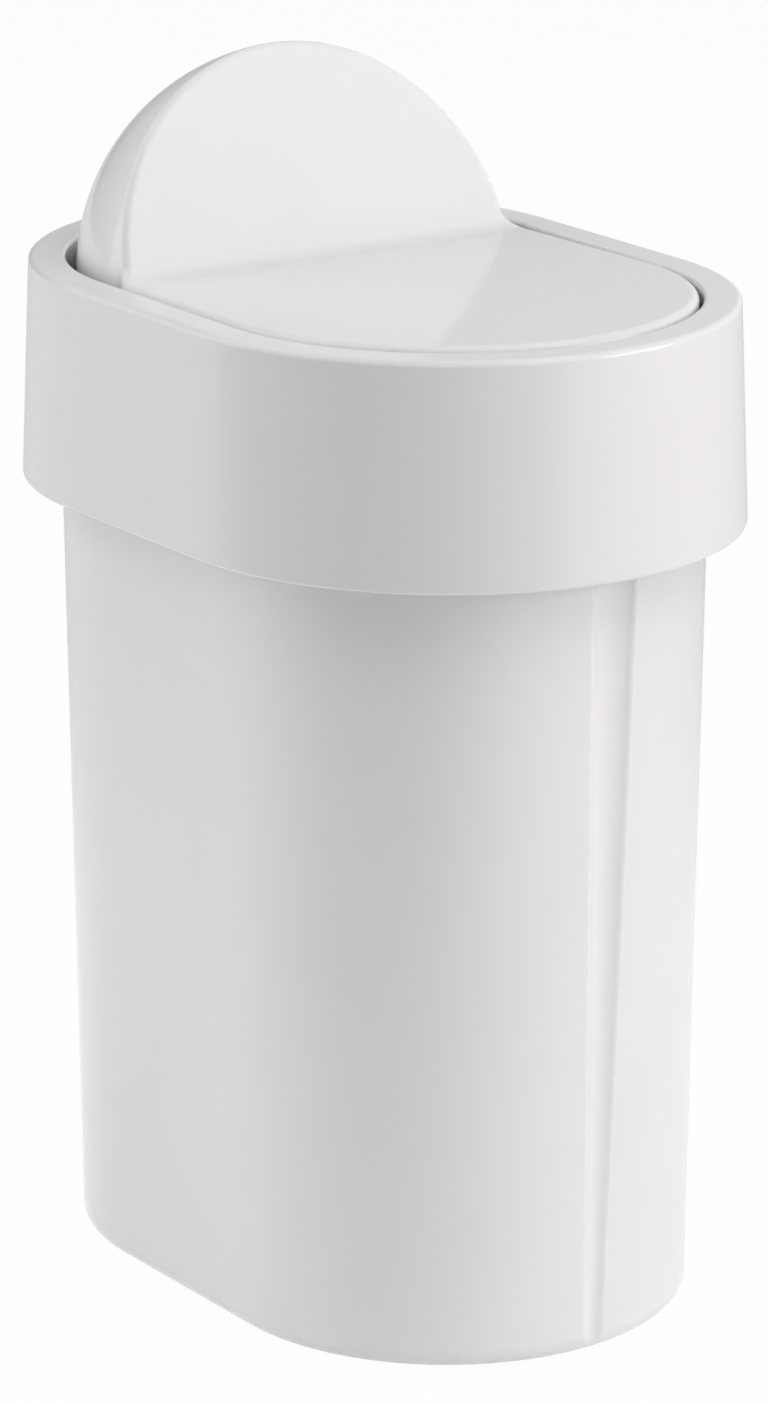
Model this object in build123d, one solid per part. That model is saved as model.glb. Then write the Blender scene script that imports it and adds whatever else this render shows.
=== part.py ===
from build123d import *
from math import atan, cos, degrees, radians, sin, sqrt
import os

# Obround countertop bin with a lift-off collar and a swing lid, in millimetres.
# +Z is up, X runs along the bin and the flap is at its +X end.
# The origin is on the ground under the middle of the bin.

# Plan of the whole bin: two half circles joined by straight sides
half_straight = 35.6

# Bucket
ground_gap = 0.4            # the feet hold the foot ring this far off the ground
body_base_radius = 74.25
body_draft = 0.01379        # the wall leans out by this much per millimetre of height
body_wall = 2.0
body_floor = 2.2
body_base_round = 6.0
floor_panel_radius = 48.0   # the middle of the floor is raised
floor_panel_rise = 2.0
rim_top = 296.0
rim_radius = 84.0
rim_thickness = 2.2
rim_lip_drop = 10.0
rim_round = 1.0
groove_top = 262.0          # finger groove down each end: a channel that narrows to the foot
groove_foot_radius = 4.72
groove_foot_axis = (113.49, 2.53)       # X and Y of its axis on the ground
groove_top_radius = 14.04
groove_top_axis = (123.80, 6.95)

# Feet
foot_radius = 6.0
foot_pocket_depth = 0.8
foot_ring_radius = 58.0
foot_edge_round = 0.3

# Collar
collar_bottom = 245.1
collar_top = 313.0
collar_bottom_radius = 89.7
collar_top_radius = 87.0
collar_wall = 2.4
collar_flange = 2.2
collar_top_round = 1.8
collar_bottom_round = 1.1
throat_radius = 75.6
throat_wall = 2.2
throat_round = 1.2
seat_gap = 0.3              # between the collar's throat and the bucket's rim
web_thickness = 1.6         # ribs between the throat and the skirt
web_side_places = (-10.0, 12.0, 34.0)
web_end_angles = (-62.0, -22.0, 22.0, 62.0)
shelf_thickness = 2.0       # the lid's closing stop, round the back of the throat
shelf_depth = 6.4
shelf_half_width = 28.0
buffer_height = 0.8
buffer_length = 10.0
buffer_offset = 18.0
buffer_setback = 1.2        # from the throat's wall
buffer_inset = 0.6          # from the shelf's free edge

# Lid
dome_radius = 70.4          # a ball about the middle of the pivot line
dome_wall = 2.2
dome_bottom = 300.1
pivot_x = -39.6
pivot_z = 305.8
face_lean = 20.5            # degrees, backwards from upright
crease_x = -31.1            # where the leaning face meets the flap
crease_round = 7.0
face_edge_round = 2.6
flap_top = 312.9
flap_radius = 74.4
flap_crease_half_width = 74.0
flap_wall = 2.2
flap_lip_bottom = 306.7
flap_edge_round = 2.0
flap_corner_round = 5.0
flap_tail = 4.0             # how far the flap runs on behind the crease
flap_web_thickness = 1.4
flap_web_height = 5.0
flap_web_places = (-32.0, 0.0, 32.0)
hang = 0.5                  # degrees: the closed lid rests with its nose up by this much

# Pivots: a pin through a hub in the dome's side, turning in a bush in the collar
pin_radius = 2.2
pin_head_radius = 4.0
pin_head_height = 2.0
pin_tip = 78.6
pin_chamfer = 0.6
running_clearance = 0.06
hub_radius = 4.0
hub_inner_radius = 5.5
hub_inner_end = 60.0
hub_outer_end = 73.8
bush_flange_radius = 5.2
bush_flange_inner = 74.2
bush_barrel_radius = 3.7
bush_seat = 75.3            # spot face in the throat
bush_seat_clearance = 0.2
boss_radius = 8.0
boss_outer_end = 79.0
boss_headroom = 0.3

# Open stop: a finger on each hub meets a block on the throat when the flap is down
stop_thickness = 3.0
finger_start = 2.6          # from the pivot line
finger_end = 13.0
finger_inner_face = 68.4
finger_outer_face = 72.9
block_start = 9.0
block_end = 14.0
block_rise = 0.4
block_inner_face = 71.2
block_outer_face = 76.4

# Counterweight and its screws, measured from the upright line through the dome's middle
weight_inner_radius = 52.0
weight_outer_radius = 64.0
weight_half_angle = 38.0
weight_bottom = 291.0
weight_top = 309.0
weight_chamfer = 0.8
weight_hole_radius = 1.9
weight_boss_radius = 4.2
weight_boss_end = 69.2
screw_angle = 22.0
screw_z = 304.3
screw_radius = 1.5
screw_head_radius = 3.2
screw_head_height = 2.0
screw_head_gap = 0.12       # the flat head on the weight's hollow side
screw_hole_end = 69.0
screw_tip = 68.8

reach = 400.0               # longer than anything in the bin
past = 1.0                  # how far a cut runs past what it cuts


def plan(radius):
    """The bin's plan outline at a given end radius."""
    return SlotOverall(2 * (half_straight + radius), 2 * radius)


def column(radius, low, high, draft=0.0):
    """Upright obround column; draft is how fast its radius grows with height."""
    lean = -degrees(atan(draft))
    return Pos(0, 0, low) * extrude(plan(radius), amount=high - low, taper=lean)


def across(radius, start, end):
    """Cylinder on the pivot line, from one Y to another."""
    middle = (start + end) / 2
    return Pos(pivot_x, middle, pivot_z) * Rot(90, 0, 0) * Cylinder(radius, abs(end - start))


def edges_at(solid, z):
    """Edges that lie wholly at one height."""
    return solid.edges().filter_by_position(Axis.Z, z - 0.02, z + 0.02)


# Bucket

def body_radius(z):
    return body_base_radius + body_draft * z


def groove(grow, end):
    """Leaning round channel at one end of the wall, wider by grow, closed over at its top."""
    foot = Pos(*groove_foot_axis, 0) * Circle(groove_foot_radius + grow)
    top = Pos(*groove_top_axis, groove_top) * Circle(groove_top_radius + grow)
    channel = loft([foot, top]) + Pos(*groove_top_axis, groove_top) * Sphere(groove_top_radius + grow)
    return Rot(0, 0, 90 - 90 * end) * channel


def bucket_wall():
    outer = column(body_radius(ground_gap), ground_gap, rim_top, body_draft)
    outer = fillet(edges_at(outer, ground_gap), body_base_round)
    floor = ground_gap + body_floor
    inner = column(body_radius(floor) - body_wall, floor, rim_top + past, body_draft)
    inner = fillet(edges_at(inner, floor), body_base_round - body_wall)
    for end in (-1, 1):
        outer -= groove(0, end)
        inner -= groove(body_wall, end)
    return outer - inner


def bucket_rim():
    """Flat flange round the mouth, turned down at its outer edge."""
    lip_bottom = rim_top - rim_lip_drop
    rim = column(rim_radius, lip_bottom, rim_top)
    rim = fillet(edges_at(rim, rim_top), rim_round)
    rim -= column(rim_radius - rim_thickness, lip_bottom - past, rim_top - rim_thickness)
    mouth = body_radius(rim_top) - body_wall
    return rim - column(mouth, lip_bottom - past, rim_top + past)


def raised_floor():
    top = ground_gap + floor_panel_rise + body_floor
    return column(floor_panel_radius + body_floor, ground_gap + body_floor / 2, top)


def foot_places():
    offset = foot_ring_radius * sqrt(0.5)
    return [(sx * (half_straight + offset), sy * offset) for sx in (-1, 1) for sy in (-1, 1)]


def make_bin_body():
    body = bucket_wall() + bucket_rim() + raised_floor()
    body -= column(floor_panel_radius, ground_gap - past, ground_gap + floor_panel_rise)
    pocket_top = ground_gap + foot_pocket_depth
    for x, y in foot_places():
        body -= Pos(x, y, pocket_top / 2) * Cylinder(foot_radius, pocket_top)
    return body


def make_base_feet():
    height = ground_gap + foot_pocket_depth
    foot = Cylinder(foot_radius, height)
    foot = fillet(edges_at(foot, -height / 2), foot_edge_round)
    return [Pos(x, y, height / 2) * foot for x, y in foot_places()]


# Collar

def skirt_column(inset, high):
    """The flared skirt as a solid, moved in by inset, from its lower edge up to a height."""
    draft = (collar_top_radius - collar_bottom_radius) / (collar_top - collar_bottom)
    return column(collar_bottom_radius - inset, collar_bottom, high, draft)


def skirt_room():
    """Space inside the skirt, up to the underside of the rim."""
    return skirt_column(collar_wall, collar_top - collar_flange)


def collar_shell():
    shell = skirt_column(0, collar_top)
    shell = fillet(edges_at(shell, collar_top), collar_top_round)
    shell -= skirt_room()
    shell = fillet(edges_at(shell, collar_bottom), collar_bottom_round)
    throat_bottom = rim_top + seat_gap
    shell += column(throat_radius + throat_wall, throat_bottom, collar_top - collar_flange / 2)
    shell -= column(throat_radius, throat_bottom - past, collar_top + past)
    widest = throat_radius + throat_wall
    mouth = [edge for edge in edges_at(shell, collar_top) if edge.bounding_box().max.Y < widest]
    return fillet(mouth, throat_round)


def web_places():
    """Where the collar's webs stand and which way they run, clear of the pivots."""
    offset = (throat_radius + collar_top_radius) / 2
    places = [(x, side * offset, 90) for x in web_side_places for side in (-1, 1)]
    for end in (-1, 1):
        for angle in web_end_angles:
            x = end * (half_straight + offset * cos(radians(angle)))
            places.append((x, offset * sin(radians(angle)), end * angle))
    return places


def collar_webs():
    """Upright webs that join the throat to the skirt and the rim."""
    low = rim_top + seat_gap
    high = collar_top - collar_flange / 2
    space = skirt_room() - column(throat_radius + throat_wall / 2, low - past, collar_top)
    blank = Box(2 * (collar_top_radius - throat_radius), web_thickness, high - low)
    return [Pos(x, y, (low + high) / 2) * Rot(0, 0, turn) * blank & space
            for x, y, turn in web_places()]


def back_band(outer, inner, low, high, width, middle_y=0.0):
    """Part of a level obround band, cut out across the back of the throat."""
    band = column(outer, low, high) - column(inner, low - past, high + past)
    return band & Pos(-reach / 2, middle_y, (low + high) / 2) * Box(reach, width, reach)


def closing_shelf():
    """Ledge that the dome's lower edge comes down to."""
    low = rim_top + seat_gap
    inner = throat_radius - shelf_depth
    outer = throat_radius + throat_wall / 2
    return back_band(outer, inner, low, low + shelf_thickness, 2 * shelf_half_width)


def stop_block(side):
    """Block on the throat wall that the lid's finger meets when the flap is down."""
    x = pivot_x - (block_start + block_end) / 2
    y = side * (block_inner_face + block_outer_face) / 2
    depth = block_outer_face - block_inner_face
    return Pos(x, y, pivot_z + block_rise) * Box(block_end - block_start, depth, stop_thickness)


def pivot_boss(side):
    boss = across(boss_radius, side * bush_seat, side * boss_outer_end)
    low = rim_top + seat_gap + boss_headroom
    high = collar_top - collar_flange / 2
    return boss & Pos(0, 0, (low + high) / 2) * Box(reach, reach, high - low)


def make_lid_collar():
    collar = collar_shell() + closing_shelf()
    for web in collar_webs():
        collar += web
    for side in (-1, 1):
        collar += pivot_boss(side)
        seat = bush_flange_radius + bush_seat_clearance
        collar -= across(seat, side * block_inner_face, side * bush_seat)
        collar -= across(bush_barrel_radius, side * bush_seat, side * (boss_outer_end + past))
        collar += stop_block(side)
    return collar


def make_stop_buffers():
    low = rim_top + seat_gap + shelf_thickness
    outer = throat_radius - buffer_setback
    inner = throat_radius - shelf_depth + buffer_inset
    return [back_band(outer, inner, low, low + buffer_height, buffer_length, side * buffer_offset)
            for side in (-1, 1)]


def make_pivot_bush(side):
    bush = across(bush_flange_radius, side * bush_flange_inner, side * bush_seat)
    bush += across(bush_barrel_radius, side * bush_seat, side * boss_outer_end)
    bore = pin_radius + running_clearance
    return bush - across(bore, side * (bush_flange_inner - past), side * (boss_outer_end + past))


# Lid

def ball(inset=0.0):
    return Pos(pivot_x, 0, pivot_z) * Sphere(dome_radius - inset)


def behind_face(setback=0.0):
    """Everything behind the leaning face, moved back by setback."""
    block = Pos(-reach / 2 - setback, 0, 0) * Box(reach, reach, reach)
    return Pos(crease_x, 0, flap_top) * Rot(0, -face_lean, 0) * block


def dome_block():
    """Ball cut off by the leaning face and along the dome's lower edge."""
    above_edge = Pos(0, 0, dome_bottom + reach / 2) * Box(reach, reach, reach)
    return ball() & behind_face() & above_edge


def flap_plan(inset, tail):
    """Flap from above: sides that open a little towards a half circle, and a straight tail."""
    back_x = crease_x - tail
    front = flap_radius - inset
    back = flap_crease_half_width - inset
    sides = Polyline((half_straight, front), (back_x, back), (back_x, -back), (half_straight, -front))
    nose = ThreePointArc((half_straight, -front), (half_straight + front, 0), (half_straight, front))
    return make_face([sides, nose])


def flap_block():
    """Flap without its hollow: rear corners turned in to the dome, upper edge rounded."""
    height = flap_top - flap_lip_bottom
    block = Pos(0, 0, flap_lip_bottom) * extrude(flap_plan(0, flap_tail), amount=height)
    rear_corners = block.edges().filter_by(Axis.Z).group_by(Axis.X)[0]
    block = fillet(rear_corners, flap_corner_round)
    rear = block.bounding_box().min.X
    upper = [edge for edge in edges_at(block, flap_top) if edge.bounding_box().max.X > rear + 0.5]
    return fillet(upper, flap_edge_round)


def lid_block():
    """Outside of the lid as one solid, with its crease and its face's edge rounded."""
    lid = dome_block() + flap_block()
    crease = lid.edges().filter_by(Axis.Y).sort_by_distance((crease_x, 0, flap_top))[0]
    lid = fillet(crease, crease_round)
    face = lid.faces().filter_by(GeomType.PLANE).sort_by_distance((pivot_x, 0, pivot_z + dome_radius))[0]
    return fillet(face.edges().filter_by(GeomType.CIRCLE), face_edge_round)


def flap_room():
    """Space inside the flap's turned-down lip, which runs on into the dome."""
    low = dome_bottom - dome_radius
    room = extrude(flap_plan(flap_wall, 4 * flap_tail), amount=flap_top - flap_wall - low)
    return Pos(0, 0, low) * room - (ball() - ball(dome_wall))


def flap_webs(room):
    """Thin webs along the underside of the flap."""
    length = half_straight + flap_radius - crease_x
    middle_z = flap_top - (flap_wall + flap_web_height) / 2
    blank = Box(length, flap_web_thickness, flap_wall + flap_web_height)
    return [Pos(crease_x + flap_tail + length / 2, y, middle_z) * blank & room
            for y in flap_web_places]


def hub(side):
    """Boss on both faces of the dome wall that carries a pin, with its stop finger."""
    boss = across(hub_inner_radius, side * hub_inner_end, side * finger_inner_face)
    boss += across(hub_radius, side * finger_inner_face, side * hub_outer_end)
    depth = finger_outer_face - finger_inner_face
    middle_y = side * (finger_inner_face + finger_outer_face) / 2
    middle_z = pivot_z - (finger_start + finger_end) / 2
    finger = Box(stop_thickness, depth, finger_end - finger_start)
    return boss + Pos(pivot_x, middle_y, middle_z) * finger


def radial(radius, start, end, side):
    """Cylinder on a screw's line, which points back and out from the dome's middle."""
    turn = 180 + side * screw_angle
    middle = (start + end) / 2
    x = pivot_x + middle * cos(radians(turn))
    y = middle * sin(radians(turn))
    return Pos(x, y, screw_z) * Rot(0, 0, turn) * Rot(0, 90, 0) * Cylinder(radius, end - start)


def hung(piece):
    """A piece of the lid turned about the pivot line to where the closed lid rests."""
    return piece.rotate(Axis((pivot_x, 0, pivot_z), (0, 1, 0)), -hang)


def make_swing_lid():
    room = flap_room()
    lid = lid_block() - room - (ball(dome_wall) & behind_face(dome_wall))
    for web in flap_webs(room):
        lid += web
    for side in (-1, 1):
        lid += hub(side)
        lid -= across(pin_radius, side * (hub_inner_end - past), side * (hub_outer_end + past))
        lid += radial(weight_boss_radius, weight_outer_radius, weight_boss_end, side)
        lid -= radial(screw_radius, weight_outer_radius - past, screw_hole_end, side)
    return hung(lid)


def make_pivot_pin(side):
    pin = across(pin_head_radius, side * (hub_inner_end - pin_head_height), side * hub_inner_end)
    pin += across(pin_radius, side * hub_inner_end, side * pin_tip)
    tip = pin.faces().sort_by_distance((pivot_x, side * reach, pivot_z))[0]
    return chamfer(tip.edges(), pin_chamfer)


def make_counterweight():
    """Steel sector that follows the inside of the dome."""
    height = weight_top - weight_bottom
    ring = Cylinder(weight_outer_radius, height)
    ring -= Cylinder(weight_inner_radius, height + 2 * past)
    half_width = reach * sin(radians(weight_half_angle))
    depth = reach * cos(radians(weight_half_angle))
    sector = make_face(Polyline((0, 0), (-depth, half_width), (-depth, -half_width), close=True))
    wedge = Pos(0, 0, -height) * extrude(sector, amount=2 * height)
    weight = Pos(pivot_x, 0, (weight_top + weight_bottom) / 2) * (ring & wedge)
    for side in (-1, 1):
        start, end = weight_inner_radius - past, weight_outer_radius + past
        weight -= radial(weight_hole_radius, start, end, side)
    rims = edges_at(weight, weight_top) + edges_at(weight, weight_bottom)
    return hung(chamfer(rims, weight_chamfer))


def make_weight_screws():
    head_start = weight_inner_radius - screw_head_height
    head_end = weight_inner_radius - screw_head_gap
    return [hung(radial(screw_head_radius, head_start, head_end, side)
                 + radial(screw_radius, head_start, screw_tip, side)) for side in (-1, 1)]


def save(name, piece):
    """Writes one node: a solid, or a group of separate solids."""
    shape = Compound(children=piece) if isinstance(piece, list) else piece
    export_step(shape, f"parts/{name}.step")


os.makedirs("parts", exist_ok=True)
save("bin_body", make_bin_body())
save("base_feet", make_base_feet())
save("lid_collar", make_lid_collar())
save("stop_buffers", make_stop_buffers())
save("pivot_bush_left", make_pivot_bush(1))
save("pivot_bush_right", make_pivot_bush(-1))
save("swing_lid", make_swing_lid())
save("pivot_pin_left", make_pivot_pin(1))
save("pivot_pin_right", make_pivot_pin(-1))
save("counterweight", make_counterweight())
save("weight_screws", make_weight_screws())
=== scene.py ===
import math

import bmesh
import bpy
import numpy as np
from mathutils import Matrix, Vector


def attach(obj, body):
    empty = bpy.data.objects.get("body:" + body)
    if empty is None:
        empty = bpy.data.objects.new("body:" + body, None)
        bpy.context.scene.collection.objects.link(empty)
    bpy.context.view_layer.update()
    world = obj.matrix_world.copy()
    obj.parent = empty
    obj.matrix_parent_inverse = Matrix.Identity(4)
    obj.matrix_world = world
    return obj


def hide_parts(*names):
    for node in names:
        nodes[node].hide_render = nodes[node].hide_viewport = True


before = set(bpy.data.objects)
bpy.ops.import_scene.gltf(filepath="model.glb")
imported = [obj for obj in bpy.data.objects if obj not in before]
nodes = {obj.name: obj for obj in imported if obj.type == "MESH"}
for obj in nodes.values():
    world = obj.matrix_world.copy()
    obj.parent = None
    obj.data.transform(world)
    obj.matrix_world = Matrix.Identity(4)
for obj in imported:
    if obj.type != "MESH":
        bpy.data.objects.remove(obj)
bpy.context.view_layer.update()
millimetre = 0.001
print("frame: loaded", len(nodes), "nodes")

meshCare = {"mergeWithin": 2e-6, "thinnestEdge": 1e-7, "sharpOver": 38.0, "tightestRadius": 0.002, "flatShare": 0.06}


def smoothStep(x):
    # 3x^2 - 2x^3 between 0 and 1, level outside
    x = np.clip(x, 0.0, 1.0)
    return x * x * (3.0 - 2.0 * x)


def unit(v):
    # each vector divided by its length
    return v / np.linalg.norm(v, axis=-1, keepdims=True)


def softMin(a, b, reach):
    # the smaller of a and b, with the crossing rounded over the given reach
    h = np.clip(0.5 + 0.5 * (b - a) / reach, 0.0, 1.0)
    return b + (a - b) * h - reach * h * (1.0 - h)


def roundedProfile(corners, spacing, closed, steps=8, guard=0.2):
    # A line through the corners (radius, height, round): each corner is an arc tangent to both runs,
    # with a point at guard from each end of the arc, and runs are divided to the given spacing.
    pts = np.array([c[:2] for c in corners], float)
    rounds = [c[2] for c in corners]
    count = len(pts)
    pieces = []
    for i in range(count):
        here = pts[i]
        if not closed and i in (0, count - 1):
            pieces.append(here[None, :])
            continue
        toPrev = unit(pts[i - 1] - here)
        toNext = unit(pts[(i + 1) % count] - here)
        half = 0.5 * math.acos(float(np.clip(toPrev @ toNext, -1.0, 1.0)))
        cut = rounds[i] / math.tan(half)
        centre = here + unit(toPrev + toNext) * rounds[i] / math.sin(half)
        first = here + toPrev * cut - centre
        last = here + toNext * cut - centre
        turn = math.pi - 2.0 * half
        t = np.linspace(0.0, 1.0, steps + 1)[:, None]
        arc = centre + (np.sin((1 - t) * turn) * first + np.sin(t * turn) * last) / math.sin(turn)
        pieces.append(np.vstack([arc[0] + toPrev * guard, arc, arc[-1] + toNext * guard]))
    line = []
    for i, piece in enumerate(pieces):
        line.append(piece)
        if i == count - 1 and not closed:
            break
        a, b = piece[-1], pieces[(i + 1) % count][0]
        parts = int(np.linalg.norm(b - a) // spacing)
        if parts > 0:
            t = np.linspace(0.0, 1.0, parts + 2)[1:-1, None]
            line.append(a + (b - a) * t)
    return np.vstack(line)


def planColumns(half, fine):
    # The bin's plan as columns: for each, the x of the spine point and the way out from it in degrees.
    # Two half circles about (+half, 0) and (-half, 0), joined by straight sides.
    quarter = np.concatenate([-fine[:0:-1], fine])
    run = half * np.array([0.985, 0.93, 0.75, 0.5, 0.25, 0.0, -0.25, -0.5, -0.75, -0.93, -0.985])
    spine = np.concatenate([np.full(len(quarter), half), run, np.full(len(quarter), -half), -run])
    angle = np.concatenate([quarter, np.full(len(run), 90.0), quarter + 180.0, np.full(len(run), 270.0)])
    return spine, angle


def gridPatch(points, wrap):
    # A grid of points, rows by columns, and the four-sided faces between neighbours.
    rows, cols = points.shape[:2]
    index = np.arange(rows * cols).reshape(rows, cols)
    if wrap:
        index = np.concatenate([index, index[:, :1]], axis=1)
    quads = np.stack([index[:-1, :-1], index[:-1, 1:], index[1:, 1:], index[1:, :-1]], axis=-1)
    return points.reshape(-1, 3), quads.reshape(-1, 4)


def wedgeSolid(corners):
    # A solid with eight corners: four round the bottom, then four above them.
    points = np.asarray(corners, float)
    quads = np.array([[3, 2, 1, 0], [4, 5, 6, 7], [0, 1, 5, 4], [1, 2, 6, 5], [2, 3, 7, 6], [3, 0, 4, 7]])
    return points, quads


def roundBox(centre, size, edge):
    # A box whose edges are rounded: every point is a box corner moved in by edge,
    # plus edge times a direction from a globe's grid, and the poles are closed at their middles.
    step = np.radians(np.linspace(0.0, 90.0, 5))
    lon = np.concatenate([step + k * math.pi / 2 for k in range(4)])
    lonSign = np.repeat([[1, 1], [-1, 1], [-1, -1], [1, -1]], 5, axis=0)
    lat = np.concatenate([step - math.pi / 2, step])
    latSign = np.repeat([-1, 1], 5)
    way = np.stack([np.cos(lat)[:, None] * np.cos(lon), np.cos(lat)[:, None] * np.sin(lon),
                    np.sin(lat)[:, None] + 0.0 * lon], axis=-1)
    corner = np.stack(np.broadcast_arrays(lonSign[None, :, 0], lonSign[None, :, 1], latSign[:, None]), axis=-1)
    half = np.asarray(size, float) / 2.0
    body = corner * (half - edge) + edge * way
    caps = np.zeros((2, 1, 3))
    caps[:, 0, 2] = [-half[2], half[2]]
    caps = np.broadcast_to(caps, (2, body.shape[1], 3))
    return gridPatch(np.concatenate([caps[:1], body, caps[1:]]) + np.asarray(centre, float), True)


def turned(profile, origin, axis, across, columns=64):
    # A profile of (radius, distance) turned about a line: origin + distance * axis
    # + radius * (cos a * across + sin a * third), where third is square to both.
    axis, across = unit(np.asarray(axis, float)), unit(np.asarray(across, float))
    third = np.cross(axis, across)
    a = np.linspace(0.0, 2.0 * math.pi, columns, endpoint=False)
    spoke = np.cos(a)[:, None] * across + np.sin(a)[:, None] * third
    points = np.asarray(origin, float) + profile[:, 1, None, None] * axis + profile[:, 0, None, None] * spoke
    return gridPatch(points, True)


def makePiece(name, patches, material, body, stands):
    # All the patches in one mesh, in metres, with its doubles merged and its faces turned outwards.
    points, quads, count = [], [], 0
    for patchPoints, patchQuads in patches:
        points.append(patchPoints)
        quads.append(patchQuads + count)
        count += len(patchPoints)
    points = np.concatenate(points) * millimetre
    quads = np.concatenate(quads)
    mesh = bpy.data.meshes.new(name)
    mesh.from_pydata(points.tolist(), [], quads.tolist())
    bm = bmesh.new()
    bm.from_mesh(mesh)
    bmesh.ops.remove_doubles(bm, verts=bm.verts, dist=meshCare["mergeWithin"])
    bmesh.ops.dissolve_degenerate(bm, edges=bm.edges, dist=meshCare["thinnestEdge"])
    bmesh.ops.recalc_face_normals(bm, faces=bm.faces)
    bm.to_mesh(mesh)
    bm.free()
    mesh.shade_smooth()
    mesh.set_sharp_from_angle(angle=math.radians(meshCare["sharpOver"]))
    markEdges(mesh)
    mesh.materials.append(material)
    piece = bpy.data.objects.new(name, mesh)
    bpy.context.scene.collection.objects.link(piece)
    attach(piece, body)
    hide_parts(*stands)
    print("piece:", name, len(mesh.polygons), "faces")
    return piece


def markEdges(mesh):
    # Point attribute edge: the greatest (n2 - n1).(p2 - p1) / |p2 - p1|^2 over a point's edges, which is one over
    # the radius it turns with, times the tightest radius and kept between 0 and 1. Hollow turns give 0.
    count = len(mesh.vertices)
    place, normal = np.empty(count * 3), np.empty(count * 3)
    mesh.vertices.foreach_get("co", place)
    mesh.vertices.foreach_get("normal", normal)
    place, normal = place.reshape(-1, 3), normal.reshape(-1, 3)
    ends = np.empty(len(mesh.edges) * 2, int)
    mesh.edges.foreach_get("vertices", ends)
    a, b = ends[0::2], ends[1::2]
    step = place[b] - place[a]
    bend = np.sum((normal[b] - normal[a]) * step, axis=1) / np.sum(step * step, axis=1)
    most = np.zeros(count)
    np.maximum.at(most, a, bend)
    np.maximum.at(most, b, bend)
    share = np.clip(most * meshCare["tightestRadius"] - meshCare["flatShare"], 0.0, 1.0)
    mesh.attributes.new("edge", "FLOAT", "POINT").data.foreach_set("value", share)


# The node groups below are shared by the finishes. They work in metres, on each piece's own Object coordinates.
def addNode(tree, kind, inputs=None, **settings):
    # one shader node; an input given as a socket is linked, anything else is set as its value
    made = tree.nodes.new("ShaderNode" + kind)
    for key, value in settings.items():
        setattr(made, key, value)
    for key, value in (inputs or {}).items():
        if isinstance(value, bpy.types.NodeSocket):
            tree.links.new(value, made.inputs[key])
        else:
            made.inputs[key].default_value = value
    return made


def calc(tree, how, *values, clamp=False):
    # one Math node and its result
    return addNode(tree, "Math", dict(enumerate(values)), operation=how, use_clamp=clamp).outputs[0]


def ramp(tree, value, low, high, toLow=0.0, toHigh=1.0):
    # a smooth step from toLow to toHigh while value goes from low to high
    inputs = {"Value": value, "From Min": low, "From Max": high, "To Min": toLow, "To Max": toHigh}
    return addNode(tree, "MapRange", inputs, interpolation_type="SMOOTHSTEP").outputs["Result"]


def noise(tree, where, scale, detail=2.0, roughness=0.5, distortion=0.0):
    # soft random patches, each about 1 / scale across
    inputs = {"Vector": where, "Scale": scale, "Detail": detail, "Roughness": roughness, "Distortion": distortion}
    return addNode(tree, "TexNoise", inputs).outputs["Fac"]


def newGroup(name, inputs, outputs):
    # an empty group with float sockets, and its own object coordinates moved by the input Shift
    group = bpy.data.node_groups.new(name, "ShaderNodeTree")
    for label, value in {**inputs, "Shift": 0.0}.items():
        group.interface.new_socket(label, in_out="INPUT", socket_type="NodeSocketFloat").default_value = value
    for label in outputs:
        group.interface.new_socket(label, in_out="OUTPUT", socket_type="NodeSocketFloat")
    given = group.nodes.new("NodeGroupInput").outputs
    where = addNode(group, "TexCoord").outputs["Object"]
    moved = addNode(group, "VectorMath", {0: where, 1: given["Shift"]}, operation="ADD").outputs[0]
    return group, given, group.nodes.new("NodeGroupOutput").inputs, moved


def mouldSkinGroup():
    # moulded skin: long low waves, as in orange peel, with a trace of fine grain
    group, given, out, where = newGroup("mouldSkin", {"Wave": 110.0, "Grain": 2600.0, "Grain Share": 0.1}, ["Height"])
    waves = noise(group, where, given["Wave"], 2.0, 0.45)
    grain = noise(group, where, given["Grain"], 2.0, 0.6)
    group.links.new(calc(group, "MULTIPLY_ADD", grain, given["Grain Share"], waves), out["Height"])
    return group


def handlingGroup():
    # hands and cloths: soft smudges, and hairlines where two stretched noises pass through their middle
    group, given, out, where = newGroup("handling", {"Smudge Size": 22.0, "Hairlines": 0.5}, ["Smudge", "Hairline"])
    blot = noise(group, where, given["Smudge Size"], 3.0, 0.55, 0.6)
    group.links.new(ramp(group, blot, 0.46, 0.72), out["Smudge"])
    lines = []
    for turn, stretch in (((0.3, 0.2, 0.5), (9.0, 1.0, 1.0)), ((1.2, 0.9, 2.1), (1.0, 8.0, 1.0))):
        laid = addNode(group, "Mapping", {"Vector": where, "Rotation": turn, "Scale": stretch}).outputs[0]
        field = noise(group, laid, 34.0, 1.0, 0.4, 0.3)
        near = calc(group, "ABSOLUTE", calc(group, "SUBTRACT", field, 0.5))
        lines.append(ramp(group, near, 0.0, 0.0035, 1.0, 0.0))
    patch = ramp(group, noise(group, where, 31.0, 2.0), 0.52, 0.66)
    crossed = calc(group, "MAXIMUM", *lines)
    faint = calc(group, "MULTIPLY", crossed, patch)
    group.links.new(calc(group, "MULTIPLY", faint, given["Hairlines"], clamp=True), out["Hairline"])
    return group


def edgeWearAndHighlightGroup():
    # rubbed edges, which on the bucket also carry a painted highlight: the mask of sharp convex places, broken up by
    # a fine noise
    group, given, out, where = newGroup("edgeWearAndHighlight", {"Edge": 0.0, "Amount": 0.5, "Break": 420.0}, ["Wear"])
    broken = ramp(group, noise(group, where, given["Break"], 4.0, 0.65), 0.38, 0.66)
    strong = calc(group, "MULTIPLY", given["Edge"], given["Amount"])
    group.links.new(calc(group, "MULTIPLY", strong, broken, clamp=True), out["Wear"])
    return group


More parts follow.
